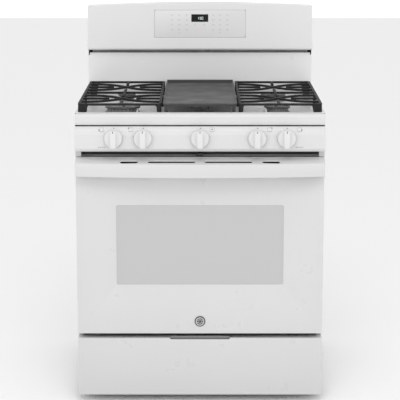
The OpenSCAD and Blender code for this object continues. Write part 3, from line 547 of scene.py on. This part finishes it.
# Marks on the control panel follow its face, so each one is set on the surface in front of it.
def panelMarks(name, material, marks, thick=0.12):
    bm = bmesh.new()
    for x, z, width, height in marks:
        start = Vector((x * mm, cadLow.y - 0.1, z * mm))
        hit, normal = panelSurface.ray_cast(start, Vector((0, 1, 0)))[:2]
        up = normal.cross(across).normalized()
        if up.z < 0:
            up = -up
        corners = [[hit + (across * du * width / 2 + up * dv * height / 2 + normal * depth) * mm
                    for du, dv in ((-1, -1), (1, -1), (1, 1), (-1, 1))] for depth in (-0.1, thick)]
        low, top = [[bm.verts.new(c) for c in ring] for ring in corners]
        bm.faces.new(top)
        bm.faces.new(list(reversed(low)))
        for i in range(4):
            bm.faces.new([low[i], low[(i + 1) % 4], top[(i + 1) % 4], top[i]])
    bmesh.ops.recalc_face_normals(bm, faces=bm.faces)
    return piece(name, bm, "root", material, 0)


knobs = {
    # knob: [which way its icon lies, the burner's place in the icon in mm]
    "left_front": [-36.0, (-7.0, 0.0)], "left_rear": [-36.0, (-7.0, 5.5)], "center": [36.7, (0.0, 2.0)],
    "right_rear": [37.5, (7.0, 5.5)], "right_front": [38.5, (7.0, 0.0)],
}
iconDark, iconPale = [], []
for side, (offset, (du, dv)) in knobs.items():
    low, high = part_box("knob_" + side)
    x, z = (low.x + high.x) / 2 / mm, (low.z + high.z) / 2 / mm
    iconDark.append([x + 1.5, z + 29.6, 2.8, 3.2])
    iconDark.append([x + offset + du, z + 24.5 + dv, 3.4, 3.6])
    iconPale += [[x + offset, z + 31.2, 13.0, 0.6], [x + offset, z + 20.0, 13.0, 1.3],
                 [x + offset - 6.5, z + 25.6, 0.6, 10.6], [x + offset + 6.5, z + 25.6, 0.6, 10.6]]
    plates("indicator_" + side, "knob_" + side, markInk, [[0, 22.0, 2.2, 6.4]],
           Vector((x * mm, low.y, z * mm)), across, Vector((0, 0, 1)), Vector((0, -1, 0)), 0.1, 0.3)
    if side in ("left_front", "right_front"):
        iconPale += [[x + offset - 9.0 + 6.0 * i, z - 27.0, 4.2, 2.2] for i in range(4)]
panelMarks("burner_marks_dark", markInk, iconDark)
panelMarks("burner_marks_pale", lineInk, iconPale)


# Plain badge face: a ring round a dish with a ring of short raised bars.
def turned(bm, outline, place, steps=64):
    ring = [bm.verts.new(place + Vector((r * mm, -h * mm, 0))) for r, h in outline]
    edges = [bm.edges.new((ring[i], ring[i + 1])) for i in range(len(ring) - 1)]
    bmesh.ops.spin(bm, geom=ring + edges, cent=place, axis=(0, 1, 0), angle=math.tau, steps=steps,
                   use_merge=True)
    bmesh.ops.remove_doubles(bm, verts=bm.verts, dist=0.000005)


badgeLow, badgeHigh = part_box("door_badge")
badgeCentre = Vector((0, badgeLow.y, (badgeLow.z + badgeHigh.z) / 2))
bm = bmesh.new()
turned(bm, [[10.6, -0.3], [10.6, 0.35], [10.9, 0.6], [12.6, 0.6], [12.9, 0.35], [12.9, -0.3]], badgeCentre)
for i in range(8):
    turn = Matrix.Rotation(math.radians(45 * i + 22.5), 3, "Y")
    block = bmesh.ops.create_cube(bm, size=1.0)["verts"]
    for vert in block:
        local = Vector((vert.co.x * 1.6, vert.co.y * 0.9 - 0.15, vert.co.z * 4.6 + 6.6))
        vert.co = badgeCentre + turn @ (local * mm)
bmesh.ops.recalc_face_normals(bm, faces=bm.faces)
piece("badge_relief", bm, "door", badgeLight)


def screws(name, places, out, radius=4.2):
    bm = bmesh.new()
    out = Vector(out)
    for place in places:
        basis = out.to_track_quat("Z", "Y").to_matrix().to_4x4()
        basis.translation = Vector(place)
        for r, low, high, sides in ((radius, -0.2, 0.7, 24), (radius * 0.72, 0.7, 3.0, 6)):
            cone = bmesh.ops.create_cone(bm, cap_ends=True, segments=sides, radius1=r * mm,
                                         radius2=r * 0.94 * mm, depth=(high - low) * mm)
            for vert in cone["verts"]:
                vert.co = basis @ (vert.co + Vector((0, 0, (high + low) / 2 * mm)))
    return piece(name, bm, "root", finishes["zinc_steel"], 30)


low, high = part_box("rear_panel")
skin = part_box("side_panel_right")[1].y
rearPlaces = []
for i in range(5):
    z = low.z + 0.02 + i * (high.z - low.z - 0.04) / 4
    rearPlaces += [(low.x + 0.009, skin, z), (high.x - 0.009, skin, z)]
for i in range(1, 5):
    rearPlaces += [(low.x + i * (high.x - low.x) / 5, skin, low.z + 0.012),
                   (low.x + i * (high.x - low.x) / 5, skin, high.z - 0.012)]
low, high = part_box("console_back")
for i in range(3):
    z = low.z + 0.05 + i * (high.z - low.z - 0.09) / 2
    rearPlaces += [(low.x + 0.012, skin, z), (high.x - 0.012, skin, z)]
screws("rear_screws", rearPlaces, (0, 1, 0))

# Black foam strips that close the ends of the vent gap in the back guard; their black is also painted shade
# for the gap's dark open ends.
seal = {
    "depth": 8 * mm, "height": 18 * mm, "inFront": 9 * mm, "below": 10 * mm,
    "inset": 1.5 * mm, "play": 2 * mm,
}
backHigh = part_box("console_back")[1]
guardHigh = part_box("splash_panel")[1]
sealX = (backHigh.x + guardHigh.x - seal["inset"]) / 2
sealWidth = guardHigh.x - backHigh.x - seal["play"]
sealSize = Vector((sealWidth, seal["depth"], seal["height"]))
bm = bmesh.new()
for side in (-1, 1):
    middle = Vector((side * sealX, backHigh.y - seal["inFront"], guardHigh.z - seal["below"]))
    for vert in bmesh.ops.create_cube(bm, size=1.0)["verts"]:
        vert.co = middle + vert.co * sealSize
piece("guard_end_seals_shade", bm, "root", finishes["black_trim"], 0)
print("marks, badge and screws made")


stage = {"floorSize": 14.0, "floorTone": 0.96, "horizon": 1.2, "zenith": 0.8}
floorMesh = bmesh.new()
bmesh.ops.create_grid(floorMesh, x_segments=1, y_segments=1, size=stage["floorSize"])
floorData = bpy.data.meshes.new("floor")
floorMesh.to_mesh(floorData)
floorMesh.free()
floor = bpy.data.objects.new("floor", floorData)
floorPaint = Paint("paleFloor")
floorData.materials.append(floorPaint.finish(Base_Color=grey(stage["floorTone"]), Roughness=0.9))
scene.collection.objects.link(floor)
floor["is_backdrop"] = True

# The room is brightest round the horizon and dims towards the ceiling.
world = bpy.data.worlds.new("studio")
world.use_nodes = True
links = world.node_tree.links
background = world.node_tree.nodes["Background"]
background.inputs[0].default_value = (1, 1, 1, 1)
direction = world.node_tree.nodes.new("ShaderNodeTexCoord")
split = world.node_tree.nodes.new("ShaderNodeSeparateXYZ")
dimming = world.node_tree.nodes.new("ShaderNodeMapRange")
for index, value in ((1, 0.05), (2, 0.75), (3, stage["horizon"]), (4, stage["zenith"])):
    dimming.inputs[index].default_value = value
links.new(direction.outputs[0], split.inputs[0])
links.new(split.outputs[2], dimming.inputs[0])
links.new(dimming.outputs[0], background.inputs[1])
scene.world = world

lamps = {
    # name: [place, aimed at, width, height, watts]
    "overhead": [(0, -2.4, 3.4), (0, 0, 0.8), 1.6, 1.2, 26],
    "frontLeft": [(-2.8, -4.2, 1.3), (0, 0, 0.8), 2.6, 1.8, 12],
    "frontRight": [(2.8, -4.2, 1.3), (0, 0, 0.8), 2.6, 1.8, 12],
}
for name, (place, aim, width, height, watts) in lamps.items():
    light = bpy.data.lights.new(name, "AREA")
    light.shape = "RECTANGLE"
    light.size = width
    light.size_y = height
    light.energy = watts
    lamp = bpy.data.objects.new(name, light)
    lamp.location = place
    lamp.rotation_euler = (Vector(aim) - Vector(place)).to_track_quat("-Z", "Y").to_euler()
    scene.collection.objects.link(lamp)
print("stage and lamps set")

low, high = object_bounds()
